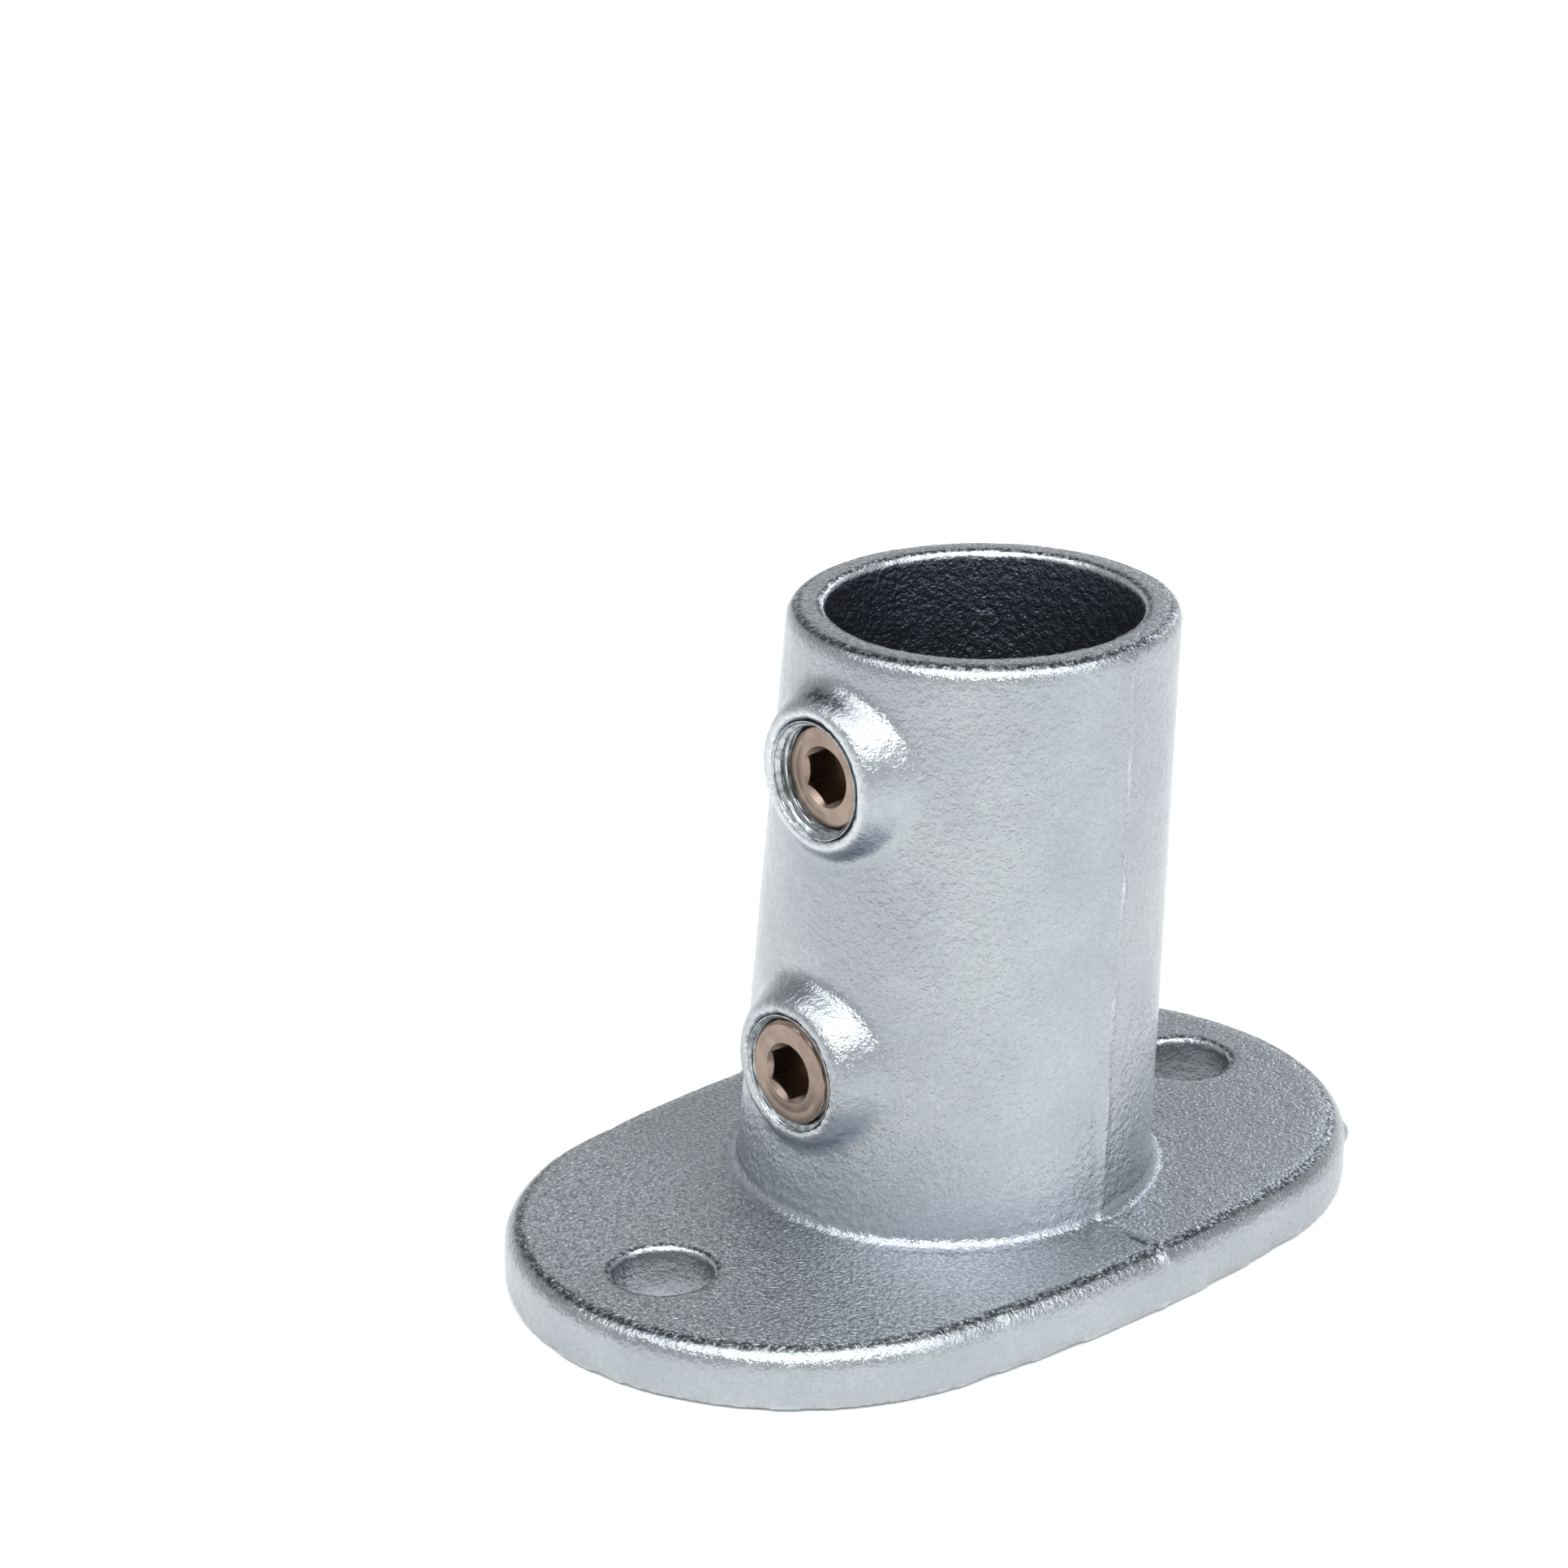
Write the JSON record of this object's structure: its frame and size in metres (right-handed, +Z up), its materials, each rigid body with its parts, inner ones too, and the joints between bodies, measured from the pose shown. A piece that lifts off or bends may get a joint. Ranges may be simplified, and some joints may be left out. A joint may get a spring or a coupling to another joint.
{
  "type": "stanchion base",
  "caption": "Cast railing base flange: oval foot with anchor holes and a leaning pipe socket with set screws.",
  "frame": {"origin": "middle of the oval foot, on its underside", "axes": "+X along the foot, away from the set screws; +Y across the foot; +Z up out of the underside"},
  "size_m": [0.15, 0.0966, 0.1015],
  "materials": {
    "zinc_casting": "hot-dip galvanised malleable iron, pebbled as cast",
    "screw_steel": "turned hardened steel with a bronze-brown coat"
  },
  "bodies": {
    "casting": {"flange_casting": "zinc_casting"},
    "upper_screw": {"upper_set_screw": "screw_steel"},
    "lower_screw": {"lower_set_screw": "screw_steel"}
  },
  "joints": [
    {"name": "upper_screw_travel", "type": "slide", "parent": "casting", "child": "upper_screw", "axis": [1, 0, 0], "range_m": [-0.006, 0.004]},
    {"name": "lower_screw_travel", "type": "slide", "parent": "casting", "child": "lower_screw", "axis": [1, 0, 0], "range_m": [-0.0042, 0.0072]}
  ]
}
